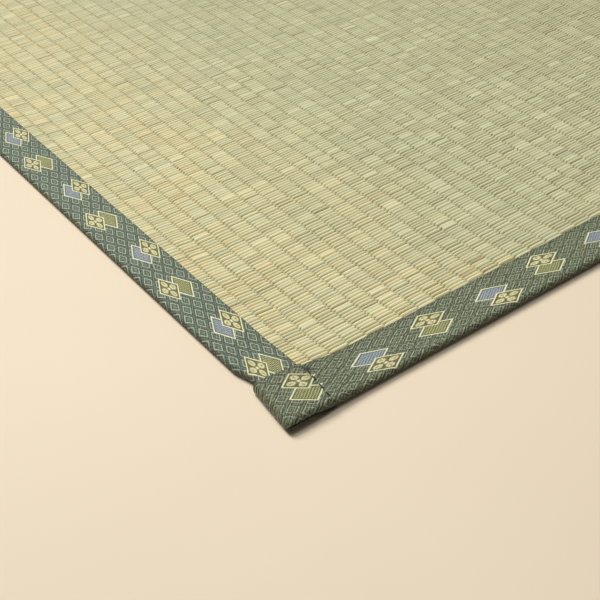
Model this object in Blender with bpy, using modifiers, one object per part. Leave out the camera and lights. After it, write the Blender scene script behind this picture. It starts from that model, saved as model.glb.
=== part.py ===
# Bound rush mat lying flat: a woven rush panel with a strip of cloth folded round each edge
# Metres, +Z up, origin on the floor under the mat's middle, rushes along X, warps along Y.

import math

import bmesh
import bpy

# Over the side bindings along X, and over the end bindings along Y
MAT_LENGTH = 0.900
MAT_WIDTH = 0.600

# Rush panel: the rushes crown over the warps, and each face dips where they change sides. Those
# dips mark off columns, which are narrower by a share towards each end of the mat.
RUSH_THICKNESS = 0.0024
DIP_DEPTH = 0.0004
COLUMNS = 74
FIRST_DIP = 0.0111
NARROWER = 0.07
NARROWED_COLUMNS = 18
PANEL_INSET = 0.0030
PANEL_END_INSET = 0.0058

# Binding cloth, doubled by its turned edges, and how far each strip reaches in over the panel
CLOTH = 0.0010
GAP = 0.0003
SIDE_REACH = 0.025
END_REACH = 0.028
FOLD_DEPTH = 0.0024
FOLD_STEPS = 6

# The end strips pass the side strips by this much at the mat's outer corners, and by nothing at
# their inner edge. Over their last stretch they widen to their turned-in ends.
END_PAST_SIDE = 0.0035
END_FLARE = 0.005
FLARE_LENGTH = 0.060
FLARE_BEND = 1.6

# At a corner the stitches pull the side strip's fold inwards, within this distance of the mat's end
SIDE_DRAW = 0.0030
DRAW_FROM = 0.052
DRAW_RAMP = 0.014

# All layers settle to the floor over a ramp beside the strip that lifts them
PANEL_RAMP = 0.020
CLOTH_RAMP = 0.005
RAMP_STEPS = 3
PANEL_BEND = 0.4

# Rushes lie level between these shares of a column
CROWN_FROM = 0.20
CROWN_TO = 0.80

SHARP_FROM = math.radians(40)

LAYER = CLOTH + GAP
HALF_LENGTH = MAT_LENGTH / 2
HALF_WIDTH = MAT_WIDTH / 2
END_HOLD = END_REACH + END_FLARE

RUSH_COLOUR = (0.60, 0.55, 0.32, 1.0)
CLOTH_COLOUR = (0.10, 0.13, 0.11, 1.0)


def clear_objects():
    for old in list(bpy.data.objects):
        bpy.data.objects.remove(old, do_unlink=True)


def new_collection(name):
    collection = bpy.data.collections.new(name)
    bpy.context.scene.collection.children.link(collection)
    return collection


def new_material(name, colour, roughness):
    material = bpy.data.materials.new(name)
    material.use_nodes = True
    shader = material.node_tree.nodes["Principled BSDF"]
    shader.inputs["Base Color"].default_value = colour
    shader.inputs["Roughness"].default_value = roughness
    shader.inputs["Metallic"].default_value = 0.0
    return material


def add_object(name, mesh_data, material, collection):
    mesh = bpy.data.meshes.new(name)
    mesh_data.to_mesh(mesh)
    mesh_data.free()
    mesh.materials.append(material)
    mesh.shade_smooth()
    mesh.set_sharp_from_angle(angle=SHARP_FROM)
    thing = bpy.data.objects.new(name, mesh)
    collection.objects.link(thing)
    return thing


def eased(share):
    share = min(max(share, 0.0), 1.0)
    return share * share * (3 - 2 * share)


def under_strip(place, half_size, reach, ramp):
    """1 where a strip of this reach covers the mat's edge, falling to 0 over the ramp inside it."""
    inside = half_size - abs(place)
    return 1.0 - eased((inside - reach - GAP) / ramp)


def settle(place, half_size, reach):
    """How high the panel and what lies on it are lifted by the strip folded under one pair of edges."""
    return LAYER * under_strip(place, half_size, reach, PANEL_RAMP)


def ramp_places(half_size, reach):
    """Distances from the middle at which a long piece bends, on one side, from the edge inwards."""
    start = half_size - reach - GAP
    cloth = [start - CLOTH_RAMP * step / RAMP_STEPS for step in range(RAMP_STEPS + 1)]
    panel = [start - PANEL_RAMP * step / RAMP_STEPS for step in range(1, RAMP_STEPS + 1)]
    return sorted(set(round(place, 6) for place in cloth + panel), reverse=True)


def both_ways(places):
    """The places on the positive side, and the same mirrored, in rising order."""
    return sorted([-place for place in places] + list(places))


def shape_grid(columns, rows):
    """A flat grid mesh, and for each vertex its column and row."""
    grid = bmesh.new()
    bmesh.ops.create_grid(grid, x_segments=columns - 1, y_segments=rows - 1, size=0.5)
    where = {}
    for vertex in grid.verts:
        column = round((vertex.co.x + 0.5) * (columns - 1))
        row = round((vertex.co.y + 0.5) * (rows - 1))
        where[vertex] = (column, row)
    return grid, where


def dip_places():
    """Places along the rushes where they change sides, from one end of the mat to the other."""
    widths = []
    for column in range(COLUMNS):
        from_end = min(column, COLUMNS - 1 - column)
        widths.append(1.0 - NARROWER * max(0.0, 1.0 - from_end / NARROWED_COLUMNS))
    scale = 2 * (HALF_LENGTH - FIRST_DIP) / sum(widths)
    places = [-HALF_LENGTH + FIRST_DIP]
    for width in widths:
        places.append(places[-1] + width * scale)
    return places


def crown_places():
    """Places along the rushes, each with the share of the crown's height reached there."""
    start = -HALF_LENGTH + PANEL_END_INSET
    dips = dip_places()
    places = [(start, 1.0)]
    for dip, after in zip(dips, dips[1:]):
        for share, crown in ((0.0, 0.0), (CROWN_FROM, 1.0), (CROWN_TO, 1.0)):
            places.append((dip + (after - dip) * share, crown))
    places.append((dips[-1], 0.0))
    places.append((-start, 1.0))
    return places


def make_rush_panel(material, collection):
    """The woven sheet: a grid closed to a slab, which dips between two columns on both faces and is
    lifted at its rim by the strips folded under it."""
    across = crown_places()
    rim = HALF_WIDTH - PANEL_INSET
    start = HALF_WIDTH - END_HOLD - GAP
    along = both_ways([rim, start, start - PANEL_RAMP * PANEL_BEND, start - PANEL_RAMP])
    slab, where = shape_grid(len(across), len(along))
    lower = dict(where)
    extruded = bmesh.ops.extrude_face_region(slab, geom=list(slab.faces))
    upper = [part for part in extruded["geom"] if isinstance(part, bmesh.types.BMVert)]
    for vertex in upper:
        column = round((vertex.co.x + 0.5) * (len(across) - 1))
        row = round((vertex.co.y + 0.5) * (len(along) - 1))
        where[vertex] = (column, row)
    for vertex, (column, row) in where.items():
        x, crown = across[column]
        y = along[row]
        side = -1 if vertex in lower else 1
        half = RUSH_THICKNESS / 2 - DIP_DEPTH * (1 - crown)
        lift = settle(x, HALF_LENGTH, SIDE_REACH) + settle(y, HALF_WIDTH, END_HOLD)
        vertex.co = (x, y, RUSH_THICKNESS / 2 + lift + side * half)
    bmesh.ops.recalc_face_normals(slab, faces=slab.faces)
    return add_object("rush_panel", slab, material, collection)


def fold_profile(reach):
    """Across the cloth, from the top inner edge round the fold to the bottom inner edge: the
    distance in from the mat's edge, and the share of the way up."""
    middle = CLOTH / 2
    depth = FOLD_DEPTH - middle
    profile = [(reach, 1.0)]
    for step in range(FOLD_STEPS + 1):
        turn = math.pi * step / FOLD_STEPS
        inside = middle + depth * (1 - math.sin(turn))
        profile.append((inside, (1 + math.cos(turn)) / 2))
    profile.append((reach, 0.0))
    return profile


def fold_strip(name, stations, material, collection, place):
    """A flat strip of cloth, a grid, folded to a U round an edge and given its thickness. Each
    station is a distance along the edge, the strip's reach there, and the heights of the cloth's
    lower and upper layers."""
    profiles = [fold_profile(reach) for run, reach, low, high in stations]
    strip, where = shape_grid(len(profiles[0]), len(stations))
    for vertex, (column, row) in where.items():
        inside, share = profiles[row][column]
        run, reach, low, high = stations[row]
        vertex.co = place(run, inside, low + (high - low) * share)
    bmesh.ops.recalc_face_normals(strip, faces=strip.faces)
    thing = add_object(name, strip, material, collection)
    thickness = thing.modifiers.new("cloth", "SOLIDIFY")
    thickness.thickness = CLOTH
    thickness.offset = 0.0
    thickness.use_even_offset = True
    return thing


def side_stations():
    """Along a side strip: it lies on the floor, and at its ends between the layers of the end
    strips, on the lower one and under the upper one."""
    places = [HALF_WIDTH - PANEL_INSET] + ramp_places(HALF_WIDTH, END_HOLD)
    stations = []
    for y in both_ways(places):
        cleared = LAYER * under_strip(y, HALF_WIDTH, END_HOLD, CLOTH_RAMP)
        low = CLOTH / 2 + cleared
        high = settle(y, HALF_WIDTH, END_HOLD) + 2 * LAYER + RUSH_THICKNESS - CLOTH / 2
        stations.append((y, SIDE_REACH, low, high))
    return stations


def end_stations():
    """Along an end strip: flat on the floor below, above it climbs over the side strips, and it
    widens towards its turned-in ends."""
    strip_end = HALF_LENGTH + END_PAST_SIDE
    places = [strip_end, strip_end - FLARE_LENGTH] + ramp_places(HALF_LENGTH, SIDE_REACH)
    stations = []
    for x in both_ways(places):
        past = 1.0 - (strip_end - abs(x)) / FLARE_LENGTH
        reach = END_REACH + END_FLARE * max(past, 0.0) ** FLARE_BEND
        over_side = LAYER * under_strip(x, HALF_LENGTH, SIDE_REACH, CLOTH_RAMP)
        lift = settle(x, HALF_LENGTH, SIDE_REACH) + over_side
        high = lift + 2 * LAYER + RUSH_THICKNESS - CLOTH / 2
        stations.append((x, reach, CLOTH / 2, high))
    return stations


def make_side_binding(name, side, material, collection):
    def place(y, inside, z):
        drawn = SIDE_DRAW * eased((abs(y) - HALF_WIDTH + DRAW_FROM) / DRAW_RAMP)
        inside += drawn * (1 - inside / SIDE_REACH)
        return (side * (HALF_LENGTH - inside), y, z)

    return fold_strip(name, side_stations(), material, collection, place)


def make_end_binding(name, side, material, collection):
    def place(x, inside, z):
        past = max(0.0, (abs(x) - HALF_LENGTH + SIDE_REACH) / (SIDE_REACH + END_PAST_SIDE))
        slant = END_PAST_SIDE * past * inside / END_HOLD
        return (x - math.copysign(slant, x), side * (HALF_WIDTH - inside), z)

    return fold_strip(name, end_stations(), material, collection, place)


clear_objects()
mat = new_collection("rush_mat")
rush = new_material("rush", RUSH_COLOUR, 0.75)
cloth = new_material("binding_cloth", CLOTH_COLOUR, 0.85)
make_rush_panel(rush, mat)
make_side_binding("binding_left", -1, cloth, mat)
make_side_binding("binding_right", 1, cloth, mat)
make_end_binding("binding_near", -1, cloth, mat)
make_end_binding("binding_far", 1, cloth, mat)
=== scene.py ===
# Bound rush mat, lying flat on a plain floor

import math
from collections import namedtuple

import bmesh
import bpy
import numpy as np
from mathutils import Matrix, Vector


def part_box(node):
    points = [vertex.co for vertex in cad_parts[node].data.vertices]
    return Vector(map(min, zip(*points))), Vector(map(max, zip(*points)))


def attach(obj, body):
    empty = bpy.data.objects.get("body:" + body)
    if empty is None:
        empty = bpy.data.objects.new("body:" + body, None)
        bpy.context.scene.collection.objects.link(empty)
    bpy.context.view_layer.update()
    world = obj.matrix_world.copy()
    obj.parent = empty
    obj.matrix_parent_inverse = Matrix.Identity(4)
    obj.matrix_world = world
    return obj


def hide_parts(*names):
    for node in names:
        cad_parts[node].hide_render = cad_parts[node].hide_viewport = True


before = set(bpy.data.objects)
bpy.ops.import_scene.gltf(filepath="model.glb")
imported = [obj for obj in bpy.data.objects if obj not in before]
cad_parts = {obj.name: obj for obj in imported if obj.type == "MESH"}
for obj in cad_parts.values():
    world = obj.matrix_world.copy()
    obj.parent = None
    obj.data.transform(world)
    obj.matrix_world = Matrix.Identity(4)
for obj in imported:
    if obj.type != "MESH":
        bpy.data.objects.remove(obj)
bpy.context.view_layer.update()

# Rushes
# Soft rushes run along the mat's length, packed side by side and pressed flat. Each goes over one
# pair of warp yarns and under the next, its neighbours the other way about, so both faces show
# columns of short ridges, whose ends lie between each other where the rushes change sides.

# The woven sheet lies on the floor. The cloth folded under its edges lifts it there, and it settles
# back to the floor over a ramp further in.
RUSH_THICKNESS = 0.0024
CLOTH = 0.0010
GAP = 0.0003
LAYER = CLOTH + GAP
PANEL_RAMP = 0.020

# At the corners the stitches hold every layer down by a share, over ramps within these distances
# of the two edges
CORNER_FALL = 0.12
CORNER_SIZE = (0.030, 0.026)
CORNER_RAMP = (0.012, 0.026)

panel_low, panel_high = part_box("rush_panel")
side_low, side_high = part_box("binding_left")
end_low, end_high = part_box("binding_near")
EDGE_X = -side_low.x
EDGE_Y = -end_low.y
SIDE_REACH = side_high.x - side_low.x
END_HOLD = end_high.y - end_low.y

# The weave's columns, which are narrower towards each end of the mat, and the rushes in them
COLUMNS = 74
FIRST_DIP = 0.0111
NARROWER = 0.07
NARROWED_COLUMNS = 18
RUSH_PITCH = 0.00121
END_COVER = 0.028
TUCKED = 0.004
BANDS = 5

# A rush's height, how clear of the floor it stays, how far out of its middle its crest reaches, and
# where it changes sides half its width and the heights of its crest and its edges
CROWN = RUSH_THICKNESS / 2
FLOOR_CLEAR = 0.00002
SHOULDER = 0.36
DIP_HALF = 0.00074
DIP_CREST = 0.00092
DIP_EDGE = 0.00060

# Along one column, the share of the way, of a rush's height and of its width
Station = namedtuple("Station", "share rise spread")
OVER = (
    Station(0.00, 0.00, 0.00),
    Station(0.10, 0.93, 0.94),
    Station(0.26, 1.00, 1.00),
    Station(0.74, 1.00, 1.00),
    Station(0.90, 0.93, 0.94),
)
UNDER = (
    Station(0.00, 0.00, 0.00),
    Station(0.11, -1.00, 0.97),
    Station(0.89, -1.00, 0.97),
)

# How unevenly the rushes were sorted, packed and pressed
DIP_STRAY = (-0.00015, 0.00035)
DIP_DRIFT = 0.00016
DIP_JITTER = 0.00017
THICKNESS_STRAY = (0.70, 1.30)
WANDER = 0.00009
BOW = 0.00012
CROWN_STRAY = (-0.00016, 0.00008)

# Seams between rushes: a few are closed and a few are open, and in flat places all are shallower
SEAM_LEAST = 0.00044
SEAM_SPREAD = 0.00072
SEAM_FADE = 0.5
SEAM_LAP = 0.00005
CLOSED_SHARE = 0.02
CLOSED_SEAM = 0.00026
OPEN_SHARE = 0.045
OPEN_SEAM = 0.00135
OPEN_GAP = 0.00008
FLATNESS_DRIFT = 0.11
FLATNESS_LIMITS = (0.72, 1.28)
# Painted shade in seams and dips: the seam depth at which it is full, and its share in a dip at a
# rush's edges and at its crest
FULLY_SHADED_SEAM = 0.0009
DIP_SHADE = (0.74, 0.62)

# How a colour strays: drifting along each rush, in each piece between two dips, from rush to rush,
# and drifting across the rushes
Stray = namedtuple("Stray", "along along_reach piece rush across across_reach")
TONE_STRAY = Stray(along=0.020, along_reach=5, piece=0.024, rush=0.022, across=0.005, across_reach=7)
GREEN_STRAY = Stray(along=0.09, along_reach=6, piece=0.05, rush=0.07, across=0.03, across_reach=9)

# The rushes are palest and most mottled at the mat's ends, where their own ends lie. Towards its
# middle they are greener, evener and darker. A few are browned.
GREEN_AT_ENDS = 0.37
GREENER_FROM = 0.05
GREENER_OVER = 0.155
GREENER_BY = 0.25
EVENER_BY = 0.85
DARKER_BY = 0.08
BROWN_SHARE = 0.004
BROWN_MOST = 0.7
BROWN_TINGE = 0.10


def together(*values):
    """Values of the same points in one array, side by side along its last axis."""
    return np.stack(np.broadcast_arrays(*values), axis=-1)


def eased(share):
    share = np.clip(share, 0.0, 1.0)
    return share * share * (3 - 2 * share)


def under_strip(place, edge, reach, ramp):
    """1 where the strip along an edge covers this place, falling to 0 over the ramp inside it."""
    return 1 - eased((edge - np.abs(place) - reach - GAP) / ramp)


def settle(place, edge, reach):
    return LAYER * under_strip(place, edge, reach, PANEL_RAMP)


def kept_height(x, y):
    """The share of its height that anything keeps, less than 1 only near the mat's corners."""
    along = eased((np.abs(x) - EDGE_X + CORNER_SIZE[0]) / CORNER_RAMP[0])
    across = eased((np.abs(y) - EDGE_Y + CORNER_SIZE[1]) / CORNER_RAMP[1])
    return 1 - CORNER_FALL * along * across


def sheet_middle(x, y):
    """Height of the woven sheet's middle above the floor."""
    lift = settle(x, EDGE_X, SIDE_REACH) + settle(y, EDGE_Y, END_HOLD)
    return (RUSH_THICKNESS / 2 + lift) * kept_height(x, y)


chance = np.random.default_rng(1280)
from_end = np.minimum(np.arange(COLUMNS), COLUMNS - 1 - np.arange(COLUMNS))
widths = 1 - NARROWER * np.maximum(0, 1 - from_end / NARROWED_COLUMNS)
widths *= 2 * (EDGE_X - FIRST_DIP) / widths.sum()
dips = -EDGE_X + FIRST_DIP + np.concatenate([[0], np.cumsum(widths)])
dips[1:-1] += chance.uniform(*DIP_STRAY, COLUMNS - 1)
widths = np.diff(dips)
woven = 2 * (EDGE_Y - END_COVER + TUCKED)
rush_count = int(woven / RUSH_PITCH)


def drifting(rows, steps, reach, size):
    """Random rows of numbers that change slowly from step to step."""
    loose = chance.normal(0, 1, (rows, steps + 2 * reach))
    kernel = np.hanning(2 * reach + 3)[1:-1]
    kernel /= np.sqrt((kernel ** 2).sum())
    return size * np.stack([np.convolve(row, kernel, "valid") for row in loose])


def seams_after(values):
    """Middles between rushes that are two apart, at the seam after each rush: the last two repeat."""
    return np.concatenate([(values[:-2] + values[2:]) / 2, values[-2:] + RUSH_PITCH])


thickness = chance.uniform(*THICKNESS_STRAY, rush_count)
places = np.cumsum(thickness) - thickness / 2
rush_y = places / thickness.sum() * woven - woven / 2
centre = rush_y[:, None] + drifting(rush_count, COLUMNS, reach=3, size=WANDER)
centre += chance.normal(0, WANDER, centre.shape)
bow = chance.normal(0, BOW, centre.shape)
after_seam = seams_after(centre)
before_seam = np.concatenate([centre[:2] - RUSH_PITCH, after_seam[:-2]])

crown = CROWN + chance.uniform(*CROWN_STRAY, centre.shape)
flatness = 1 + drifting(COLUMNS, rush_count, reach=12, size=FLATNESS_DRIFT).T
flatness = np.clip(flatness, *FLATNESS_LIMITS)
seam_depth = (SEAM_LEAST + SEAM_SPREAD * chance.beta(2.0, 2.0, centre.shape)) * flatness
seam_kind = chance.random(centre.shape)
seam_open = seam_kind > 1 - OPEN_SHARE
seam_depth[seam_kind < CLOSED_SHARE] = CLOSED_SEAM
seam_depth[seam_open] = OPEN_SEAM
seam_lap = np.where(seam_open, -OPEN_GAP, SEAM_LAP)
depth_before = np.concatenate([seam_depth[:2], seam_depth[:-2]])
lap_before = np.concatenate([seam_lap[:2], seam_lap[:-2]])

dip_shift = drifting(COLUMNS + 1, rush_count, reach=24, size=DIP_DRIFT).T
dip_shift += chance.normal(0, DIP_JITTER, dip_shift.shape)


def straying(stray):
    """A number for each piece of each rush between two dips, about 0 in the mean."""
    values = drifting(rush_count, COLUMNS, stray.along_reach, stray.along)
    values += chance.normal(0, stray.piece, values.shape)
    values += chance.normal(0, stray.rush, (rush_count, 1))
    return values + drifting(COLUMNS, rush_count, stray.across_reach, stray.across).T


greener = eased((EDGE_X - np.abs(dips[:-1]) - GREENER_FROM) / GREENER_OVER)
tone = 1 - DARKER_BY * greener + straying(TONE_STRAY)
green = GREEN_AT_ENDS + GREENER_BY * greener + (1 - EVENER_BY * greener) * straying(GREEN_STRAY)
browned = chance.random(centre.shape) < BROWN_SHARE
brown = np.where(browned, BROWN_MOST * chance.random(centre.shape), 0.0)
brown += BROWN_TINGE * chance.random(centre.shape) ** 3


def rush_lines(first):
    """Points and marks of every second rush: rushes, stations along them, 4 points across."""
    rushes = slice(first, None, 2)
    kinds = [OVER if (first + column) % 2 == 0 else UNDER for column in range(COLUMNS)]
    spots = [(column, *spot) for column, kind in enumerate(kinds) for spot in kind]
    spots.append((COLUMNS - 1, 1.0, 0.0, 0.0))
    column, share, rise, spread = (np.array(row) for row in zip(*spots))
    column = column.astype(int)
    at_dip = (rise == 0)[None, :]
    earlier = np.where(rise == 0, np.maximum(column - 1, 0), column)

    def along(values):
        return (values[rushes][:, column] + values[rushes][:, earlier]) / 2

    shift = dip_shift[rushes]
    x = dips[column] + share * widths[column]
    x = x + (1 - share) * shift[:, column] + share * shift[:, column + 1]
    y = along(centre) + np.where(rise == 1, along(bow), 0)
    before = np.where(at_dip, DIP_HALF, spread * (y - along(before_seam) + along(lap_before)))
    after = np.where(at_dip, DIP_HALF, spread * (along(after_seam) - y + along(seam_lap)))
    height = np.where(rise < 0, np.minimum(along(crown), CROWN - FLOOR_CLEAR), along(crown))
    crest = np.where(at_dip, DIP_CREST, rise * height)
    fade = 1 + SEAM_FADE * (0.5 - share)
    depths = [fade * along(depth) for depth in (depth_before, seam_depth)]
    edge_before, edge_after = (
        np.where(at_dip, DIP_EDGE, rise * (height - depth)) for depth in depths
    )
    xs = x[..., None]
    ys = together(y - before, y - SHOULDER * before, y + SHOULDER * after, y + after)
    zs = sheet_middle(xs, ys) + together(edge_before, crest, crest, edge_after)
    # The last mark is painted shade: in a seam by its depth, and in a dip
    middle = DIP_SHADE[1] * at_dip
    seam = [np.where(at_dip, DIP_SHADE[0], depth / FULLY_SHADED_SEAM) for depth in depths]
    seam = together(seam[0], middle, middle, seam[1])
    marks = [along(values)[..., None] for values in (tone, green, brown)]
    return together(xs, ys, zs), together(*marks, seam)


def shown(channel):
    """A screen value of 0 to 255 as the light that it stands for."""
    share = channel / 255
    if share <= 0.04045:
        return share / 12.92
    return ((share + 0.055) / 1.055) ** 2.4


def dye(red, green, blue):
    return (shown(red), shown(green), shown(blue), 1.0)


class Measure:
    """A number or colour that varies over a surface. Sums on it add the nodes that work them out."""

    def __init__(self, finish, socket):
        self.finish = finish
        self.socket = socket

    def math(self, operation, *others, clamp=False):
        settings = {"operation": operation, "use_clamp": clamp}
        return self.finish.node("Math", settings, dict(enumerate((self, *others))))

    def __add__(self, other):
        return self.math("ADD", other)

    def __sub__(self, other):
        return self.math("SUBTRACT", other)

    def __rsub__(self, other):
        return self.finish.node("Math", {"operation": "SUBTRACT"}, {0: other, 1: self})

    def __mul__(self, other):
        return self.math("MULTIPLY", other)

    def __truediv__(self, other):
        return self.math("DIVIDE", other)

    def __abs__(self):
        return self.math("ABSOLUTE")

    __radd__ = __add__
    __rmul__ = __mul__

    def least(self, other):
        return self.math("MINIMUM", other)

    def most(self, other):
        return self.math("MAXIMUM", other)

    def held(self):
        """No less than 0 and no more than 1."""
        return self.math("ADD", 0.0, clamp=True)

    def wave(self, pitch):
        """From -1 to 1 and back over each pitch."""
        return (self * (math.tau / pitch)).math("SINE")

    def round_trip(self):
        """0 at each whole number, rising to 1 half way between two of them."""
        return abs((self + 0.5).math("FRACT") - 0.5) * 2

    def within(self, edge, blur):
        """1 below the edge, 0 above it."""
        return self.math("MULTIPLY_ADD", -1 / blur, edge / blur + 0.5, clamp=True)

    def wrapped(self, pitch):
        """The same place in the repeat nearest to 0."""
        return self.math("WRAP", pitch / 2, -pitch / 2)


class Finish:
    """The material of one kind of surface, whose nodes all come from one method."""

    def __init__(self, name, roughness, specular):
        self.material = bpy.data.materials.new(name)
        self.material.use_nodes = True
        self.tree = self.material.node_tree
        self.shader = self.tree.nodes["Principled BSDF"]
        self.shader.inputs["Roughness"].default_value = roughness
        self.shader.inputs["Specular IOR Level"].default_value = specular

    def node(self, kind, settings, sockets, out=0):
        node = self.tree.nodes.new("ShaderNode" + kind)
        for setting, value in settings.items():
            if setting == "stops":
                self.set_stops(node.color_ramp.elements, value)
            else:
                setattr(node, setting, value)
        for place, value in sockets.items():
            self.feed(node.inputs[place], value)
        if isinstance(out, tuple):
            return [Measure(self, node.outputs[one]) for one in out]
        return Measure(self, node.outputs[out])

    def set_stops(self, elements, stops):
        """A ramp's shares, of which the first lies at 0 and the last at 1."""
        for place, share in stops[1:-1]:
            elements.new(place).color = (share, share, share, 1.0)
        for element, (place, share) in ((elements[0], stops[0]), (elements[-1], stops[-1])):
            element.color = (share, share, share, 1.0)

    def feed(self, socket, value):
        if isinstance(value, Measure):
            self.tree.links.new(value.socket, socket)
        else:
            socket.default_value = value

    def blend(self, share, first, second):
        """The first colour where the share is 0, the second where it is 1."""
        return self.node("Mix", {"data_type": "RGBA"}, {0: share, 6: first, 7: second}, out=2)

    def shade(self, colour, share):
        """The colour made brighter or darker by a share that varies."""
        grey = self.node("CombineColor", {}, {0: share, 1: share, 2: share})
        settings = {"data_type": "RGBA", "blend_type": "MULTIPLY"}
        return self.node("Mix", settings, {0: 1.0, 6: colour, 7: grey}, out=2)

    def lumps(self, place, scale, detail):
        """Soft noise from 0 to 1, in lumps of one over the scale."""
        return self.node("TexNoise", {}, {"Vector": place, "Scale": scale, "Detail": detail})

    def noise(self, scale, detail, stretch=(1.0, 1.0, 1.0)):
        """Such noise over the object, with the scale made larger each way as told."""
        place = self.node("TexCoord", {}, {}, out="Object")
        place = self.node("VectorMath", {"operation": "MULTIPLY"}, {0: place, 1: stretch})
        return self.lumps(place, scale, detail)

    def raised(self, height, depth):
        """Relief of the given depth in metres, from a height of 0 to 1."""
        sockets = {"Height": height, "Distance": depth, "Strength": 1.0}
        self.feed(self.shader.inputs["Normal"], self.node("Bump", {}, sockets))


def rush_finish():
    """Dried rush: straw in patches to an even grey green, silky, finely lined along the stem, and
    darkened by painted shade in its seams and dips.
    """
    finish = Finish("rush_stems", roughness=0.52, specular=0.22)
    marks, seam = finish.node(
        "Attribute", {"attribute_name": "stem"}, {}, out=("Color", "Alpha")
    )
    tone, green, brown = finish.node("SeparateColor", {}, {0: marks}, out=(0, 1, 2))
    streaks = finish.noise(scale=1.0, detail=3.0, stretch=(45.0, 2400.0, 2400.0))
    patches = finish.noise(scale=22.0, detail=2.0)
    patchiness = 2.0 - green * 3.0
    green = (green + (patches - 0.5) * patchiness).held()
    straw, grey_green = dye(233, 216, 165), dye(205, 212, 176)
    colour = finish.blend(green, straw, grey_green)
    browned = brown * (streaks * 1.4)
    colour = finish.blend(browned, colour, dye(164, 134, 84))
    lightness = tone * (0.82 + streaks * 0.36)
    colour = finish.shade(colour, lightness)
    # Painted shade: the seams and dips darkened towards a warm olive
    shadow = seam * 0.60
    colour = finish.blend(shadow, colour, dye(112, 99, 20))
    finish.feed(finish.shader.inputs["Base Color"], colour)
    finish.feed(finish.shader.inputs["Roughness"], 0.42 + streaks * 0.22)
    finish.raised(streaks, depth=0.0001)
    return finish


def grid_quads(rows, columns):
    """Quads of a grid of points that are numbered row by row."""
    index = np.arange(rows * columns).reshape(rows, columns)
    corners = [index[:-1, :-1], index[:-1, 1:], index[1:, 1:], index[1:, :-1]]
    return together(*corners).reshape(-1, 4)


def new_piece(name, points, quads, finish):
    """A smooth mesh of quads that rides on the mat's one body."""
    mesh = bpy.data.meshes.new(name)
    mesh.vertices.add(len(points))
    mesh.vertices.foreach_set("co", np.asarray(points, dtype=np.float32).ravel())
    mesh.loops.add(quads.size)
    mesh.loops.foreach_set("vertex_index", quads.astype(np.int32).ravel())
    mesh.polygons.add(len(quads))
    mesh.polygons.foreach_set("loop_start", np.arange(0, quads.size, 4, dtype=np.int32))
    mesh.update(calc_edges=True)
    mesh.validate()
    mesh.shade_smooth()
    mesh.materials.append(finish.material)
    piece = bpy.data.objects.new(name, mesh)
    bpy.context.collection.objects.link(piece)
    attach(piece, "root")
    return piece


def mark_points(piece, name, kind, values):
    """Keeps a value of each point for the finish to read."""
    marks = piece.data.attributes.new(name, kind, "POINT")
    field = "color" if kind == "FLOAT_COLOR" else "vector"
    marks.data.foreach_set(field, np.asarray(values, dtype=np.float32).ravel())


def lay_flat(piece, right, up):
    """Where the corners of the piece's faces lie on its flat pattern, each way from 0 to 1."""
    pattern = piece.data.uv_layers.new(name="OFBake")
    pattern.uv.foreach_set("vector", together(right, up).astype(np.float32).ravel())


lines = [rush_lines(0), rush_lines(1)]
stations = lines[0][0].shape[1]
points = np.empty((rush_count, stations, 4, 3))
marks = np.empty((rush_count, stations, 4, 4))
for first, (some_points, some_marks) in enumerate(lines):
    points[first::2] = some_points
    marks[first::2] = some_marks

# Half a rush's length on its flat pattern, and where the 4 points across it lie there
PATTERN_HALF = 0.495
ACROSS_PATTERN = (0.05, 0.32, 0.68, 0.95)

rush_stems = rush_finish()
one_rush = grid_quads(stations, 4)
for band, chosen in enumerate(np.array_split(np.arange(rush_count), BANDS)):
    quads = one_rush[None] + (np.arange(len(chosen)) * stations * 4)[:, None, None]
    quads = quads.reshape(-1, 4)
    name = f"rushes_{band + 1}"
    piece = new_piece(name, points[chosen].reshape(-1, 3), quads, rush_stems)
    mark_points(piece, "stem", "FLOAT_COLOR", marks[chosen].reshape(-1, 4))
    right = 0.5 + PATTERN_HALF * points[chosen][..., 0].ravel() / EDGE_X
    up = np.arange(len(chosen))[:, None, None] + np.array(ACROSS_PATTERN)
    up = np.broadcast_to(up, (len(chosen), stations, 4)).ravel() / len(chosen)
    lay_flat(piece, right[quads], up[quads])

# Warps and the inside of the weave
# Two thin bleached hemp yarns run up the middle of each column, between the rushes that go over
# and those that go under. The rushes' inner sides close the weave, and at the rims, where the
# cloth hides them, the sheet keeps its whole thickness.

WARP_RADIUS = 0.00028
WARP_SPOTS = (0.41, 0.59)
WARP_SIDES = 5

# Lines to a metre each way: along X, along Y and up
WARP_LINES = (3000.0, 900.0, 3000.0)
INSIDE_LINES = (60.0, 1600.0, 1600.0)

# Half the gap between the upper and the lower rushes: in a dip, elsewhere, and at the rims
INSIDE_AT_DIP = 0.00042
INSIDE_HALF = 0.00018
INSIDE_SHARES = ((0.0, INSIDE_AT_DIP), (0.10, INSIDE_HALF), (0.90, INSIDE_HALF))
RIM_HALF = 0.0010
RIM_STEP = 0.0008
RIM_RAMP = 0.002

# Where a warp bends, in from the mat's near and far edges
IN_FROM_EDGE = (0.0225, 0.0245, 0.0290, 0.0340, 0.0405, 0.0470, 0.0545)

half_rows = np.array([panel_high.y] + [EDGE_Y - inside_edge for inside_edge in IN_FROM_EDGE])
rows = np.concatenate([-half_rows, [0.0], half_rows[::-1]])


def strand_finish(name, first, second, lines, detail=2.0, roughness=0.7, specular=0.2):
    """Stems or twisted yarn in two dyes, with so many lines to a metre each way."""
    finish = Finish(name, roughness, specular)
    strands = finish.noise(scale=1.0, detail=detail, stretch=lines)
    colour = finish.blend(strands, first, second)
    finish.feed(finish.shader.inputs["Base Color"], colour)
    finish.raised(strands, depth=0.0001)
    return finish


def warp_tubes():
    """Two tubes up each column, in rings of points."""
    turn = np.arange(WARP_SIDES) / WARP_SIDES * math.tau
    y = rows[:, None]
    tubes = []
    for dip, width in zip(dips, widths):
        for spot in WARP_SPOTS:
            x = dip + spot * width + WARP_RADIUS * np.cos(turn)
            z = sheet_middle(x, y) + WARP_RADIUS * np.sin(turn)
            tubes.append(together(x, y, z))
    return np.stack(tubes)


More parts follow.
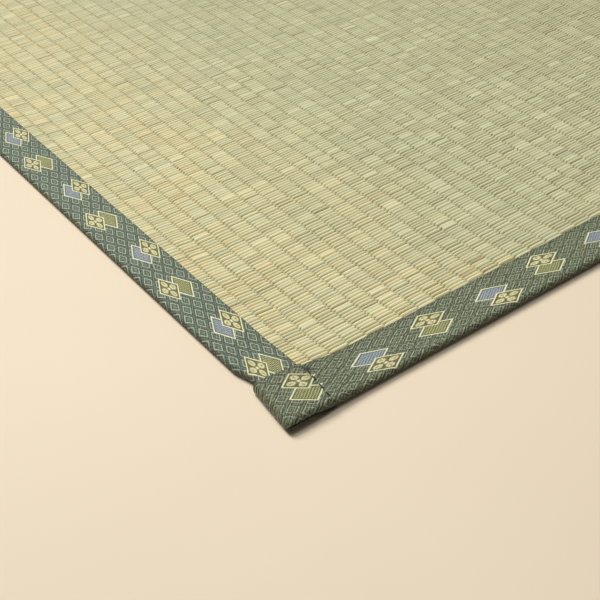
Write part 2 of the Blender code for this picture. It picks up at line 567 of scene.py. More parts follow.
def new_tubes(name, tubes, finish):
    """One piece of many tubes, each an array of rings of points."""
    count, rings, sides = tubes.shape[:3]
    around = np.concatenate([np.arange(sides), [0]])
    ring, side = np.divmod(grid_quads(rings, sides + 1), sides + 1)
    one = ring * sides + around[side]
    quads = (one[None] + (np.arange(count) * rings * sides)[:, None, None]).reshape(-1, 4)
    return new_piece(name, tubes.reshape(-1, 3), quads, finish)


def slab_quads(rows, columns):
    """Quads of a closed slab: a grid, the same grid again below it, and the rim between them."""
    index = np.arange(rows * columns).reshape(rows, columns)
    ring = np.concatenate([index[0, :-1], index[:-1, -1], index[-1, :0:-1], index[:0:-1, 0]])
    after = np.roll(ring, -1)
    below = index.size
    over = grid_quads(rows, columns)
    rim = together(ring, ring + below, after + below, after)
    return np.concatenate([over, over[:, ::-1] + below, rim])


def faces_out(piece):
    shape = bmesh.new()
    shape.from_mesh(piece.data)
    bmesh.ops.recalc_face_normals(shape, faces=shape.faces)
    shape.to_mesh(piece.data)
    shape.free()
    piece.data.shade_smooth()


warp_yarn = strand_finish(
    "warp_yarn", dye(196, 176, 128), dye(224, 208, 166), lines=WARP_LINES, roughness=0.8
)
warps = new_tubes("warps", warp_tubes(), warp_yarn)

across = [(panel_low.x, RIM_HALF), (dips[0] - RIM_STEP, RIM_HALF)]
for dip, width in zip(dips, widths):
    across += [(dip + share * width, half) for share, half in INSIDE_SHARES]
across += [(dips[-1], INSIDE_AT_DIP), (dips[-1] + RIM_STEP, RIM_HALF), (panel_high.x, RIM_HALF)]
x, half = (np.array(row) for row in zip(*across))
y = rows[:, None]
hidden = eased((np.abs(y) - woven / 2) / RIM_RAMP)
half = half + (RIM_HALF - half) * hidden
middle = sheet_middle(x, y)
points = np.stack([together(x, y, middle + half), together(x, y, middle - half)]).reshape(-1, 3)
quads = slab_quads(*middle.shape)
# The inner sides are dyed darker and browner than the rushes' faces: painted shade where they show
# between them
shaded_rush = strand_finish(
    "rush_inner_sides", dye(126, 112, 64), dye(168, 152, 98), lines=INSIDE_LINES, detail=3.0
)
inside = new_piece("rush_inner_sides", points, quads, shaded_rush)
faces_out(inside)
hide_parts("rush_panel")

# Side bindings
# A strip of brocade, its long edges turned under, is folded round each of the two edges that cut
# across the rushes, and sewn through. Cream figures stand on a trellis of small lozenges: plain
# lozenges in blue and in leaf green, each with a flower lozenge laid over one of its corners.

MM = 1000.0

# The trellis, in millimetres along and across a strip: a cell's size, where one cell's middle lies,
# how far the cells lean, and how light the thread is on the way out to a cell's edge
CELL = (13.67, 7.07)
CELL_START = (-1.37, 8.16)
CELL_LEAN = 0.13
CELL_STOPS = (
    (0.00, 0.42), (0.24, 0.38), (0.36, 0.16), (0.48, 0.16), (0.55, 0.96), (0.67, 0.96),
    (0.74, 0.10), (0.86, 0.10), (0.93, 0.30), (1.00, 0.30),
)

# The figures on it: their repeat, half a lozenge's length and width, the shares of the way out at
# which its rim and the painted shadow inside the rim begin, and how blurred their edges are
REPEAT = 82.0
LOZENGE = (12.1, 5.9)
RIM_FROM = 0.86
RIM_SHADOW_FROM = 0.76
CRISP = 0.05
SOFT = 0.08
Figure = namedtuple("Figure", "kind along across")
SIDE_FIGURES = (
    Figure("blue", 45.35, 12.1),
    Figure("green", 84.9, 9.8),
    Figure("flower", 43.4, 5.7),
    Figure("flower", 82.3, 16.6),
)

# Rows of thread that float on top: the way across them, turned from the strip's run, their pitch,
# and how strong they are. Each row comes and goes, and there are blotches between them.
Floats = namedtuple("Floats", "turn pitch share")
SIDE_FLOATS = (Floats(117.0, 1.21, 0.22), Floats(66.5, 1.30, 0.14))
FLOATS_A_MM = 0.34
FLOAT_CONTRAST = 5
FLOAT_LOSS = 1.8
BLOTCHES_A_MM = 0.9
BLOTCH_STRENGTH = 1.6

# The ground's tint strays in patches.
TINTS_A_MM = 0.55
TINT_SLICE = 40.0
TINT_CONTRAST = 2.4
CHECK_SLANTS = (0.3, 0.5)
CHECK_PITCHES = (1.5, 2.1)
CHECK_CONTRAST = 1.1
CHECK_LEVEL = 0.42

# A flower, in shares of the way out to its rim: how far out its four petals lie and the squares of
# their half length and half width, the spots on them, half a vein, how far the veins reach, and
# the flower's middle
PETAL_PLACE = 0.41
PETAL_SQUARES = (0.062, 0.045)
SPOT_PLACE = 0.46
SPOT_HALF = (0.11, 0.045)
VEIN_HALF = 0.10
VEINS_REACH = 0.62
FLOWER_MIDDLE = 0.09

# A tape's finish: how far its figures lean, how light its trellis and its ground are, how strongly
# its floats show, and how blue it is. A fainter trellis is painted sheen, the threads seen another
# way.
Tape = namedtuple("Tape", "name figures lean trellis ground float_strength floats blueness")
SIDE_TAPE = Tape(
    name="side_binding_brocade",
    figures=SIDE_FIGURES,
    lean=0.06,
    trellis=1.04,
    ground=-0.06,
    float_strength=0.56,
    floats=SIDE_FLOATS,
    blueness=0.64,
)


def thread_floats(finish, along, across, rows_of_floats):
    """How much light thread lies on top, about 0 in the mean."""
    place = finish.node("CombineXYZ", {}, {0: along, 1: across})
    total = (finish.lumps(place, scale=BLOTCHES_A_MM, detail=1.0) - 0.5) * BLOTCH_STRENGTH
    for row in rows_of_floats:
        turn = math.radians(row.turn)
        out = along * math.cos(turn) + across * math.sin(turn)
        run = across * math.cos(turn) - along * math.sin(turn)
        place = {0: out * (0.5 / row.pitch), 1: run * FLOATS_A_MM}
        place = finish.node("CombineXYZ", {}, place)
        strength = finish.lumps(place, scale=1.0, detail=2.0) * FLOAT_CONTRAST - FLOAT_LOSS
        total = total + out.wave(row.pitch) * strength * row.share
    return total


def trellis_light(finish, along, across):
    """How light the small lozenges of the ground are."""
    run = (along - across * CELL_LEAN - CELL_START[0]) / CELL[0]
    row = (across - CELL_START[1]) / CELL[1]
    edge = (run - row).round_trip().most((run + row).round_trip())
    return finish.node("ValToRGB", {"stops": CELL_STOPS}, {0: edge})


def flower_fill(finish, x, y, checks, floats):
    """Four round petals, each with a spot and dark veins between them, about a small middle: the
    colour, and how far it is raised. The way out is told along and across, to 1 at the rim."""
    far = x.most(y)
    near = x.least(y)
    past_middle = far - PETAL_PLACE
    petal = past_middle * past_middle / PETAL_SQUARES[0] + near * near / PETAL_SQUARES[1]
    petal = petal + floats * 0.55
    spot = near.within(SPOT_HALF[1], CRISP) * abs(far - SPOT_PLACE).within(SPOT_HALF[0], SOFT)
    petal = petal.within(1.0, 0.5) * (0.62 + checks * 0.38) * (1 - spot * 0.7)
    vein = (far - near).within(VEIN_HALF, SOFT) * (x + y).within(VEINS_REACH, SOFT)
    fill = finish.blend(checks, dye(98, 92, 46), dye(142, 136, 80))
    fill = finish.blend(vein * 0.8, fill, dye(92, 80, 60))
    fill = finish.blend(petal * 0.94, fill, dye(233, 227, 176))
    fill = finish.blend(far.within(FLOWER_MIDDLE, SOFT), fill, dye(232, 224, 176))
    return fill, petal


def tape_finish(tape):
    """Brocade. The mark "weave" holds the place along and across the strip, in millimetres, and
    how darkened it is there, by stains and dirt and by painted shade."""
    finish = Finish(tape.name, roughness=0.62, specular=0.25)
    weave = finish.node("Attribute", {"attribute_name": "weave"}, {}, out="Vector")
    along, across, dirt_and_shade = finish.node("SeparateXYZ", {}, {0: weave}, out=(0, 1, 2))

    floats = thread_floats(finish, along, across, tape.floats)
    light = trellis_light(finish, along, across) * tape.trellis + tape.ground
    light = (light + floats * tape.float_strength).held()
    place = finish.node("CombineXYZ", {}, {0: along, 1: across, 2: TINT_SLICE})
    tint = (finish.lumps(place, scale=TINTS_A_MM, detail=2.0) - 0.5) * TINT_CONTRAST
    tint = (tint + tape.blueness).held()
    dark = finish.blend(tint, dye(70, 70, 44), dye(52, 68, 58))
    pale = finish.blend(tint, dye(178, 180, 138), dye(163, 180, 164))
    colour = finish.blend(light, dark, pale)
    height = light * 0.6

    checks = (along + across * CHECK_SLANTS[0]).wave(CHECK_PITCHES[0])
    checks = checks * (across - along * CHECK_SLANTS[1]).wave(CHECK_PITCHES[1])
    checks = (checks * CHECK_CONTRAST + CHECK_LEVEL + floats * 0.6).held()
    rim_light = (0.85 + floats * 0.3).held()
    plain = {
        "blue": finish.blend(checks, dye(92, 103, 132), dye(172, 179, 164)),
        "green": finish.blend(checks, dye(92, 95, 50), dye(182, 181, 128)),
    }
    for figure in tape.figures:
        past = across - figure.across
        x = abs((along - figure.along).wrapped(REPEAT) - past * tape.lean) / LOZENGE[0]
        y = abs(past) / LOZENGE[1]
        if figure.kind == "flower":
            fill, relief = flower_fill(finish, x, y, checks, floats)
        else:
            fill, relief = plain[figure.kind], checks * 0.3 + 0.2
        body = (x + y).within(1.0, CRISP)
        inside_rim = (x + y).within(RIM_FROM, CRISP)
        rim = body * (1 - inside_rim)
        # Painted shadow: a dark line just inside the raised rim
        rim_shadow = inside_rim * (1 - (x + y).within(RIM_SHADOW_FROM, SOFT))
        fill = finish.blend(rim_shadow * 0.7, fill, dye(70, 72, 44))
        fill = finish.blend(rim * rim_light, fill, dye(242, 240, 196))
        colour = finish.blend(body, colour, fill)
        height = height * (1 - body) + relief.most(rim) * body

    flecks = finish.noise(scale=900.0, detail=2.0)
    fade = finish.noise(scale=60.0, detail=2.0)
    colour = finish.shade(colour, 1 + (flecks - 0.5) * 0.5 + (fade - 0.5) * 0.2)
    # Stains, dirt and painted shade, all in one mark, darken the cloth towards a dark brown
    colour = finish.blend(dirt_and_shade, colour, dye(50, 44, 27))
    finish.feed(finish.shader.inputs["Base Color"], colour)
    finish.feed(finish.shader.inputs["Roughness"], 0.52 + flecks * 0.24)
    finish.raised(height + flecks * 0.2, depth=0.00022)
    return finish


# The fold: its depth, shares of its flat top and bottom, steps in from a cloth edge where it rounds
# off, how thin that gets, and the nose, which leans a little
FOLD_DEPTH = 0.0024
FLAT_SHARES = (0.10, 0.20, 0.30, 0.40, 0.50, 0.60, 0.70, 0.78, 0.85, 0.91, 0.96)
EDGE_STEPS = (0.0, 0.00010, 0.00028, 0.0005)
EDGE_HALF = 0.00008
NOSE_STEPS = 24
NOSE_LEAN = 0.08


def rounded_half(step):
    """Half the cloth's thickness this far in from its edge."""
    middle = CLOTH / 2
    return math.sqrt(max(middle ** 2 - (middle - step) ** 2, EDGE_HALF ** 2))


def fold_nodes():
    """Across the cloth, from the top inner edge round the fold to the bottom inner edge: how far
    in, as a share of the flat part and as a depth, the share of the way up, and half the cloth."""
    nodes = []
    middle = CLOTH / 2
    for step in EDGE_STEPS:
        nodes.append((1.0, FOLD_DEPTH - step, 1.0, rounded_half(step)))
    for share in reversed(FLAT_SHARES):
        nodes.append((share, FOLD_DEPTH, 1.0, middle))
    for step in range(NOSE_STEPS + 1):
        share = step / NOSE_STEPS
        turn = math.pi * (share + NOSE_LEAN * math.sin(math.tau * share))
        inward = middle + (FOLD_DEPTH - middle) * (1 - math.sin(turn))
        nodes.append((0.0, inward, (1 + math.cos(turn)) / 2, middle))
    for share in FLAT_SHARES[1::3]:
        nodes.append((share, FOLD_DEPTH, 0.0, middle))
    for step in reversed(EDGE_STEPS):
        nodes.append((1.0, FOLD_DEPTH - step, 0.0, rounded_half(step)))
    return [np.array(row) for row in zip(*nodes)]


flat_share, fold_depth, fold_up, fold_half = fold_nodes()


def spread_places(last, crowded, fine, coarse):
    """Places from -last to last, close together within the crowded stretch at each end."""
    start = last - crowded
    ends = np.linspace(start, last, int(crowded / fine) + 1)
    middle = np.linspace(-start, start, int(2 * start / coarse) + 1)
    return np.concatenate([-ends[::-1], middle[1:-1], ends])


def uneven(place, size, waves, seed):
    """The slight unevenness of a strip that was folded and sewn by hand."""
    loose = np.random.default_rng(seed)
    total = 0.0
    for wave in waves:
        total = total + np.sin(place * math.tau / wave + loose.uniform(0, math.tau))
    return size * total / len(waves)


def thick_cloth(inward, height, half):
    """The cloth's outer and inner faces, as points in and up, from its middle."""
    step_in = np.gradient(inward, axis=1)
    step_up = np.gradient(height, axis=1)
    length = np.hypot(step_in, step_up)
    lift = half * -step_in / length
    push = half * step_up / length
    return (inward + push, height + lift), (inward - push, height - lift)


def fold_length(inward, height):
    """The distance over the cloth from its top inner edge, at each point across."""
    steps = np.hypot(np.diff(inward, axis=1), np.diff(height, axis=1))
    return np.concatenate([np.zeros((len(inward), 1)), np.cumsum(steps, axis=1)], axis=1)


# A strip's flat pattern is cut into rows. The outer face lies below in each and the inner face above
# it, each from a start and over a share of the row. The cut edge lies at the bottom, and the cut ends
# at the right.
ROW_START = 0.01
ROW_RUN = 0.94
ROW_SPARE = 1.05
OUTER_UP = (0.04, 0.72)
INNER_UP = (0.96, -0.16)
CUT_EDGE_UP = 0.01
CUT_END_RIGHT = (0.97, 0.02)


def lay_strip_flat(strip, quads, run, over, rows):
    """The pattern of a strip, from the places along it and the distances over its cloth."""
    stations, steps = over.shape
    side, spot = np.divmod(quads, stations * steps)
    station, step = np.divmod(spot, steps)
    row = np.minimum(station.min(axis=1) * rows // (stations - 1), rows - 1)[:, None]
    starts = run[-(-np.arange(rows) * (stations - 1) // rows)]
    longest = np.diff(np.append(starts, run[-1])).max() * ROW_SPARE
    share = (over / over[:, -1:])[station, step]
    right = ROW_START + ROW_RUN * (run[station] - starts[row]) / longest
    outer_up = OUTER_UP[0] + OUTER_UP[1] * share
    up = np.where(side == 0, outer_up, INNER_UP[0] + INNER_UP[1] * share)
    cut_edge = (step == 0).all(axis=1)[:, None]
    up = np.where(cut_edge & (side == 1), CUT_EDGE_UP, up)
    cut_end = (station.min(axis=1) == station.max(axis=1))[:, None]
    right = np.where(cut_end, CUT_END_RIGHT[0] + CUT_END_RIGHT[1] * side, right)
    up = np.where(cut_end, outer_up, up)
    lay_flat(strip, right, (row + up) / rows)


# The most that each darkens the cloth, and over how far in: painted shade low on the fold, painted
# shade along the inner edge in millimetres, and dirt from the hands that pick the mat up by its
# corners
SIDE_LOW_SHADE = 0.46
SIDE_EDGE_SHADE = (0.24, 1.6)
HANDLED = (0.09, 0.060)


def low_fold_shade(up):
    """Painted shade on a fold on its way up from the floor: up to 1, a quarter of the way up."""
    return 3.08 * np.sqrt(up) * (1 - up) ** 1.5


def edge_shade(across, most, over):
    return most * np.exp(-across / over)


def handled(from_corner):
    return HANDLED[0] * np.exp(-((from_corner / HANDLED[1]) ** 2))


def sew_on(kind, name, faces, weave, finish, run, over, rows):
    """A folded strip as one closed piece, from the points of its outer and inner faces, the places
    along it and the distances over its cloth, in millimetres."""
    points = np.stack(faces).reshape(-1, 3)
    quads = slab_quads(*over.shape)
    strip = new_piece(f"{kind}_binding_{name}", points, quads, finish)
    mark_points(strip, "weave", "FLOAT_VECTOR", np.stack([weave, weave]))
    lay_strip_flat(strip, quads, run, over, rows)
    faces_out(strip)
    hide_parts(f"binding_{name}")


# Where the side strips lie over the panel, and how the stitches draw their folds in near the corners
CLOTH_RAMP = 0.005
SIDE_SPARE = 0.0004
SIDE_HIDDEN_IN = 0.0010
SIDE_DRAW = 0.0030
DRAW_FROM = 0.052
DRAW_RAMP = 0.014

# How far the strips' inner edges and their tops stray, in waves of these lengths
EDGE_STRAY = 0.00018
SIDE_EDGE_WAVES = (0.031, 0.047, 0.11)
SIDE_PUFF = 0.00012
SIDE_PUFF_WAVES = (0.023, 0.037, 0.071)
PUFF_SLANT = 0.4

# The place in the pattern's repeat at the mat's near end, in millimetres
FIRST_SIDE_FIGURE = 124.3


def side_fold(seed):
    """A side strip from its near end to its far end: it lies on the floor, and at its ends it
    lies on the lower layer of the end strips and under their upper one. Near its ends the
    stitches draw its fold in."""
    y = spread_places(panel_high.y, crowded=0.060, fine=0.0025, coarse=0.006)[:, None]
    reach = SIDE_REACH + SIDE_SPARE + uneven(y, EDGE_STRAY, SIDE_EDGE_WAVES, seed)
    reach = reach - SIDE_HIDDEN_IN * under_strip(y, EDGE_Y, END_COVER - TUCKED, CLOTH_RAMP)
    inward = flat_share * (reach - FOLD_DEPTH) + fold_depth
    drawn = SIDE_DRAW * eased((np.abs(y) - EDGE_Y + DRAW_FROM) / DRAW_RAMP)
    inward = inward + drawn * (1 - inward / reach)
    low = CLOTH / 2 + LAYER * under_strip(y, EDGE_Y, END_HOLD, CLOTH_RAMP)
    high = settle(y, EDGE_Y, END_HOLD) + 2 * LAYER + RUSH_THICKNESS - CLOTH / 2
    puff = uneven(y + PUFF_SLANT * inward, SIDE_PUFF, SIDE_PUFF_WAVES, seed + 1)
    height = low + (high - low + puff) * fold_up
    return y, inward, height


side_cloth = tape_finish(SIDE_TAPE)
for name, side in (("left", -1), ("right", 1)):
    y, inward, height = side_fold(seed=50 + side)
    faces = []
    for inward_face, height_face in thick_cloth(inward, height, fold_half[None, :]):
        x = side * (EDGE_X - inward_face)
        faces.append(together(x, -side * y, height_face * kept_height(x, y)))
    along = FIRST_SIDE_FIGURE - (y + EDGE_Y) * MM
    across = fold_length(inward, height) * MM
    # Painted shade low on the fold and along the inner edge, and dirt from handling near the corners
    dirt_and_shade = SIDE_LOW_SHADE * low_fold_shade(fold_up) + edge_shade(across, *SIDE_EDGE_SHADE)
    dirt_and_shade = dirt_and_shade + handled(EDGE_Y - np.abs(y))
    weave = together(along, across, dirt_and_shade)
    sew_on("side", name, faces, weave, side_cloth, y[:, 0], across, rows=3)

# End bindings
# The same brocade is folded round the two edges that run along the rushes, and over the ends of
# the side strips. Its own ends are turned in, stand a little past the side strips and are pulled
# down, and a slanting row of stitches draws a crease where it steps off the side strip.

END_FIGURES = (
    Figure("blue", 2.1, 14.2),
    Figure("green", 42.7, 17.1),
    Figure("flower", 6.1, 21.6),
    Figure("flower", 43.5, 9.8),
)
END_FLOATS = (Floats(56.0, 1.40, 0.34), Floats(56.0, 0.98, 0.18), Floats(20.5, 0.92, 0.20))
# Painted sheen: the end strips are the same brocade, its trellis drawn fainter as their threads catch
# the light another way
END_TAPE = Tape(
    name="end_binding_brocade",
    figures=END_FIGURES,
    lean=0.32,
    trellis=0.62,
    ground=0.05,
    float_strength=0.74,
    floats=END_FLOATS,
    blueness=0.36,
)
FIRST_END_FIGURE = 109.4

# How the strips reach over the panel, and widen towards their turned-in ends
END_SPARE = 0.0002
END_FLARE = END_HOLD - END_COVER
FLARE_LENGTH = 0.060
FLARE_BEND = 1.3
STRIP_END = -end_low.x
END_PAST_SIDE = STRIP_END - EDGE_X
END_EDGE_WAVES = (0.029, 0.053, 0.12)
END_PUFF = 0.00014
END_PUFF_WAVES = (0.021, 0.039, 0.073)

# The stitched crease, in from the mat's end: its slant, how the cloth steps up there, the groove
# that the stitches draw, and the places along the strip about it, in millimetres
CREASE = 0.0266
CREASE_SLANT = 0.0028
SLANT_OVER = 0.026
SLANT_WITHIN = 0.012
CREASE_STEP = 0.0018
GROOVE_DEPTH = 0.0009
GROOVE_HALF = 0.00040
BEFORE_CREASE = (-30, -22, -16, -12, -9, -6, -4, -3, -2.2, -1.6, -1.1, -0.8)
AT_CREASE = np.linspace(-0.6, 0.6, 9)
PAST_CREASE = 0.0012
FLAP_STEPS = 12
MIDDLE_STEPS = 109

# The turned-in end, which closes over this length and stands open in a slit along the outer edge
CLOSING = 0.0026
CLOSING_STEPS = 7
CLOSED_LEAST = 0.16
CLOSED_IN = 0.0018
MEETING_HEIGHT = 0.0028
SLIT_LENGTH = 0.028
SLIT_RAMP = 0.004
SLIT_DEPTH = 0.0016
SLIT_UP = (0.58, 0.028)
SLIT_FALLS_FROM = 12.0
SLIT_HALF = 0.07
LIP_DEPTH = 0.0010
LIP_BELOW = 0.15

# Painted shade on the strips, as on the side strips, and painted shade in the slit. A dark stain lies
# at the crease's inner end, in from the mat's end and from its edge.
END_LOW_SHADE = 0.74
END_EDGE_SHADE = (0.42, 1.8)
SLIT_SHADE = 0.9
SLIT_SHADE_BELOW = 0.02
STAIN_DARKNESS = 0.95
STAIN_PLACE = (0.0268, 0.0258)
STAIN_SIZE = 0.0022

# The turned-in end of the first strip was pulled askew as it was sewn: millimetres from the mat's
# end and over the cloth there, the pattern's own place at that point, and how its axes turned
FLAP_PLACE = (18.9, 10.5)
FLAP_FIGURE = (127.2, 9.6)
FLAP_TURN = ((1.14, 0.06), (0.00, 0.83))


def end_places():
    """Places along an end strip, close together at the crease and where the end is closed."""
    crease = EDGE_X - CREASE
    near_crease = crease + np.concatenate([BEFORE_CREASE, AT_CREASE]) / MM
    flap = np.linspace(crease + PAST_CREASE, STRIP_END - CLOSING, FLAP_STEPS + 1)
    turn = np.linspace(0, math.pi / 2, CLOSING_STEPS + 1)[1:]
    closing = STRIP_END - CLOSING * (1 - np.sin(turn))
    ends = np.concatenate([near_crease, flap, closing])
    middle = np.linspace(-ends[0], ends[0], MIDDLE_STEPS + 1)
    return np.concatenate([-ends[::-1], middle[1:-1], ends])


def along_slit(size, below):
    """1 along the line where a strip's end stands open at the mat's outer edge, or so far below."""
    opened = eased((size - EDGE_X + SLIT_LENGTH) / SLIT_RAMP)
    slit_up = SLIT_UP[0] - SLIT_UP[1] * np.maximum(0, (EDGE_X - size) * MM - SLIT_FALLS_FROM)
    return opened * np.exp(-(((fold_up - slit_up + below) / SLIT_HALF) ** 2))


def end_fold(seed):
    """An end strip at each point across: the place along it before its ends slant and after, in
    from the mat's edge, and up."""
    x = end_places()[:, None]
    size = np.abs(x)
    crease = EDGE_X - CREASE
    flare = END_FLARE * np.maximum(0, 1 - (STRIP_END - size) / FLARE_LENGTH) ** FLARE_BEND
    reach = END_COVER + END_SPARE + flare + uneven(x, EDGE_STRAY, END_EDGE_WAVES, seed)
    closed = np.clip((STRIP_END - size) / CLOSING, 0, 1)
    closed = np.maximum(np.sqrt(1 - (1 - closed) ** 2), CLOSED_LEAST)
    inward = flat_share * (reach - FOLD_DEPTH) + fold_depth
    inward = inward + (1 - closed) * CLOSED_IN * (1 - flat_share)
    inward = inward + SLIT_DEPTH * along_slit(size, 0.0) - LIP_DEPTH * along_slit(size, LIP_BELOW)

    over_side = LAYER * eased((size - crease) / CREASE_STEP + 0.5)
    high = settle(x, EDGE_X, SIDE_REACH) + over_side + 2 * LAYER + RUSH_THICKNESS - CLOTH / 2
    groove = GROOVE_DEPTH * np.exp(-(((size - crease) / GROOVE_HALF) ** 2))
    puff = uneven(x + PUFF_SLANT * inward, END_PUFF, END_PUFF_WAVES, seed + 1)
    height = CLOTH / 2 + (high - CLOTH / 2 + puff - groove) * fold_up
    height = MEETING_HEIGHT + (height - MEETING_HEIGHT) * closed

    near_crease = np.clip(1 - np.abs(size - crease) / SLANT_WITHIN, 0, 1)
    from_inner = fold_length(inward, 0 * inward)
    outwards = CREASE_SLANT * np.clip(from_inner / SLANT_OVER, 0, 1) * near_crease * fold_up
    laid = x + np.sign(x) * outwards
    past = np.maximum(0, (size - EDGE_X + SIDE_REACH) / (SIDE_REACH + END_PAST_SIDE))
    return laid, laid - np.sign(x) * END_PAST_SIDE * past * inward / END_HOLD, inward, height


def end_weave(x, laid, across):
    """Where the pattern lies on an end strip, along and across it in millimetres."""
    along = FIRST_END_FIGURE + (laid + EDGE_X) * MM
    run = (laid + EDGE_X) * MM - FLAP_PLACE[0]
    down = across - FLAP_PLACE[1]
    on_flap = x < -EDGE_X + CREASE - GROOVE_HALF
    flap_along, flap_across = (
        figure + turn[0] * run + turn[1] * down for figure, turn in zip(FLAP_FIGURE, FLAP_TURN)
    )
    return np.where(on_flap, flap_along, along), np.where(on_flap, flap_across, across)


end_cloth = tape_finish(END_TAPE)
end_x = end_places()[:, None]
corner_tops = []
for name, side in (("near", -1), ("far", 1)):
    laid, x, inward, height = end_fold(seed=70 + side)
    faces = []
    for inward_face, height_face in thick_cloth(inward, height, fold_half[None, :]):
        y = side * (EDGE_Y - inward_face)
        faces.append(together(-side * x, y, height_face * kept_height(x, y)))
    corner_tops.append(faces[0][:, fold_up == 1].reshape(-1, 3))
    across = fold_length(inward, height) * MM
    along, pattern_across = end_weave(end_x, laid, across)
    # Painted shade low on the fold, along the inner edge and in the slit, then a stain and dirt from
    # handling
    dirt_and_shade = END_LOW_SHADE * low_fold_shade(fold_up) + edge_shade(across, *END_EDGE_SHADE)
    dirt_and_shade = dirt_and_shade + SLIT_SHADE * along_slit(np.abs(end_x), SLIT_SHADE_BELOW)
    from_stain = np.hypot(EDGE_X - np.abs(x) - STAIN_PLACE[0], inward - STAIN_PLACE[1])
    dirt_and_shade = dirt_and_shade + STAIN_DARKNESS * np.exp(-((from_stain / STAIN_SIZE) ** 2))
    dirt_and_shade = dirt_and_shade + handled(EDGE_X - np.abs(x))
    weave = together(along, pattern_across, np.minimum(dirt_and_shade, 1))
    sew_on("end", name, faces, weave, end_cloth, x[:, 0], across, rows=4)

# Corner stitches and frayed ends
# A doubled dark thread runs down each crease in short stitches, and pulls the cloth in. A few
# ends of cut yarn stand out of the turned-in ends of the end strips.

STITCH_RADIUS = 0.00050
STITCH_TAPER = (0.5, 0.9, 1.0, 1.0, 1.0, 0.9, 0.5)
STITCH_SIDES = 6
STITCH_LIFT = 0.00046
STITCH_DIVE = 0.0009
CLOTH_BESIDE = 0.0012

# A stitch's middle, in from the mat's edge, and its length
Stitch = namedtuple("Stitch", "inside span")
STITCHES = (
    Stitch(0.0232, 0.0030),
    Stitch(0.0185, 0.0044),
    Stitch(0.0119, 0.0050),
    Stitch(0.0053, 0.0028),
)

# The hairs at one corner: how they stand out of the turned-in end, how high up, how long, how far
# they stray sideways and how far they bend up or down
HAIRS = 44
HAIR_RADIUS = 0.00005
HAIR_TAPER = (1.0, 1.0, 0.8, 0.3)
HAIR_SIDES = 3
HAIR_INSIDE = (0.001, END_HOLD - 0.002)
HAIR_ROOT = 0.0004
HAIR_UP = (0.0012, 0.0042)
HAIR_LENGTH = (0.0006, 0.0018)
HAIR_STRAY = 0.0006
HAIR_BEND = (-0.5, 0.3)

THREAD_LINES = (4000.0, 1500.0, 4000.0)
THREAD_SHEEN = 0.25


def tubes_along(paths, radius, taper, sides):
    """Tubes round many paths, each an array of points, with a share of the radius at each."""
    ahead = np.gradient(paths, axis=1)
    ahead /= np.linalg.norm(ahead, axis=-1, keepdims=True)
    out = np.cross(ahead, (0.0, 0.0, 1.0))
    out /= np.linalg.norm(out, axis=-1, keepdims=True)
    up = np.cross(out, ahead)
    turn = np.arange(sides) / sides * math.tau
    ring = np.cos(turn)[:, None] * out[..., None, :] + np.sin(turn)[:, None] * up[..., None, :]
    radii = radius * np.array(taper)
    return paths[..., None, :] + radii[:, None, None] * ring


def crease_stitches():
    """Short stitches down the four creases, each a low bow whose ends go into the cloth."""
    paths = []
    bow = np.linspace(-1, 1, len(STITCH_TAPER))
    for side_x in (-1, 1):
        for side_y, tops in zip((-1, 1), corner_tops):
            for stitch in STITCHES:
                inside_edge = stitch.inside + bow * stitch.span / 2
                slant = CREASE_SLANT * (END_COVER - inside_edge) / SLANT_OVER
                x = side_x * (EDGE_X - CREASE + slant)
                y = side_y * (EDGE_Y - inside_edge)
                middle_x, middle_y = x[len(x) // 2], y[len(y) // 2]
                near = np.hypot(tops[:, 0] - middle_x, tops[:, 1] - middle_y) < CLOTH_BESIDE
                level = tops[near, 2].min() + STITCH_LIFT
                paths.append(together(x, y, level - STITCH_DIVE * bow ** 6))
    return np.stack(paths)


stitches = tubes_along(crease_stitches(), STITCH_RADIUS, STITCH_TAPER, STITCH_SIDES)
dark_thread = strand_finish(
    "dark_thread", dye(24, 22, 16), dye(52, 46, 34), lines=THREAD_LINES, specular=THREAD_SHEEN
)
new_tubes("corner_stitches", stitches, dark_thread)


def frayed_ends():
    """Hairs along the outer point of each turned-in end."""
    loose = np.random.default_rng(91)
    step = np.linspace(0, 1, len(HAIR_TAPER))
    paths = []
    for side_x in (-1, 1):
        for side_y in (-1, 1):
            for _ in range(HAIRS):
                inside_edge = loose.uniform(*HAIR_INSIDE)
                x = STRIP_END - END_PAST_SIDE * inside_edge / END_HOLD - HAIR_ROOT
                z = loose.uniform(*HAIR_UP)
                length = loose.uniform(*HAIR_LENGTH)
                stray = loose.normal(0, HAIR_STRAY)
                path_x = side_x * (x + length * step)
                path_y = side_y * (EDGE_Y - inside_edge) + stray * step ** 2
                path_z = z + length * loose.uniform(*HAIR_BEND) * step ** 2
                paths.append(together(path_x, path_y, path_z))
    return np.stack(paths)


hairs = tubes_along(frayed_ends(), HAIR_RADIUS, HAIR_TAPER, HAIR_SIDES)
pale_yarn = strand_finish(
    "cut_yarn", dye(120, 128, 96), dye(176, 178, 140), lines=THREAD_LINES, specular=THREAD_SHEEN
)
new_tubes("frayed_ends", hairs, pale_yarn)

# Floor, light and the photograph's view
# A plain pale floor, a window far off behind on the left, and a soft lamp overhead near the
# corner that the photograph shows.


def floor_finish():
    """Smooth pale paint, a little clouded."""
    finish = Finish("floor_paint", roughness=0.6, specular=0.3)
    grain = finish.noise(scale=6.0, detail=3.0)
    colour = finish.blend(grain, dye(226, 208, 180), dye(232, 215, 188))
    finish.feed(finish.shader.inputs["Base Color"], colour)
    return finish


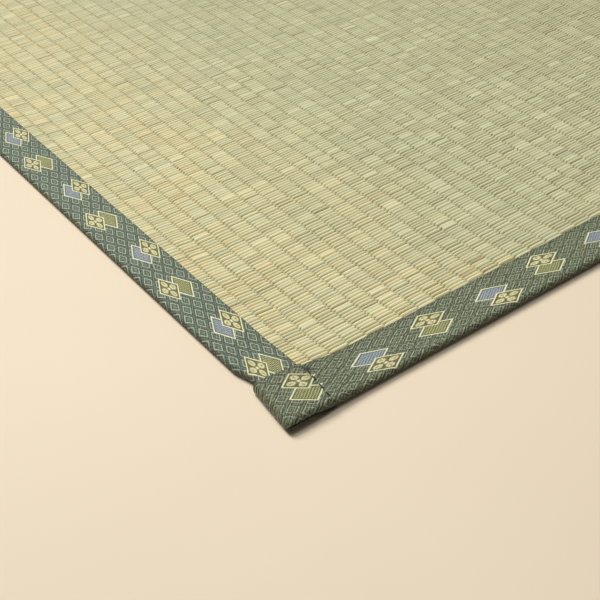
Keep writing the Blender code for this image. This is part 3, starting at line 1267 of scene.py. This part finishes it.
FLOOR_HALF = 3.0
floor_corners = [(FLOOR_HALF * x, FLOOR_HALF * y, 0) for x, y in ((-1, -1), (1, -1), (1, 1), (-1, 1))]
floor_mesh = bpy.data.meshes.new("floor")
floor_mesh.from_pydata(floor_corners, [], [(0, 1, 2, 3)])
floor_mesh.materials.append(floor_finish().material)
floor = bpy.data.objects.new("floor", floor_mesh)
bpy.context.collection.objects.link(floor)

SKY_COLOUR = (0.94, 0.97, 1.0, 1.0)
SKY_STRENGTH = 0.18
world = bpy.data.worlds.new("daylight")
world.use_nodes = True
sky = world.node_tree.nodes["Background"]
sky.inputs["Color"].default_value = SKY_COLOUR
sky.inputs["Strength"].default_value = SKY_STRENGTH
bpy.context.scene.world = world

Lamp = namedtuple("Lamp", "name place size power")
LAMPS = (
    Lamp(name="window", place=(-0.60, 2.80, 3.60), size=2.0, power=185.0),
    Lamp(name="lamp", place=(-0.46, -0.16, 0.60), size=0.5, power=1.75),
)
for lamp in LAMPS:
    light = bpy.data.lights.new(lamp.name, "AREA")
    light.size = lamp.size
    light.energy = lamp.power
    fixture = bpy.data.objects.new(lamp.name, light)
    fixture.location = lamp.place
    fixture.rotation_euler = (-fixture.location).to_track_quat("-Z", "Y").to_euler()
    bpy.context.collection.objects.link(fixture)

CAMERA_PLACE = (-0.66101, -0.60848, 0.37266)
CAMERA_BEARING = math.radians(35.1645)
CAMERA_TILT = math.radians(38.2743)
CAMERA_ROLL = math.radians(-2.374)
CAMERA_SENSOR = 36.0
CAMERA_LENS = 68.04
CAMERA_NEAREST = 0.01
camera = bpy.data.objects.new("camera", bpy.data.cameras.new("camera"))
camera.data.sensor_width = CAMERA_SENSOR
camera.data.lens = CAMERA_LENS
camera.data.clip_start = CAMERA_NEAREST
turn = Matrix.Rotation(-CAMERA_BEARING, 4, "Z")
turn = turn @ Matrix.Rotation(math.radians(90) - CAMERA_TILT, 4, "X")
turn = turn @ Matrix.Rotation(CAMERA_ROLL, 4, "Z")
camera.matrix_world = Matrix.Translation(CAMERA_PLACE) @ turn
bpy.context.collection.objects.link(camera)
bpy.context.scene.camera = camera
bpy.context.scene.view_settings.view_transform = "Standard"
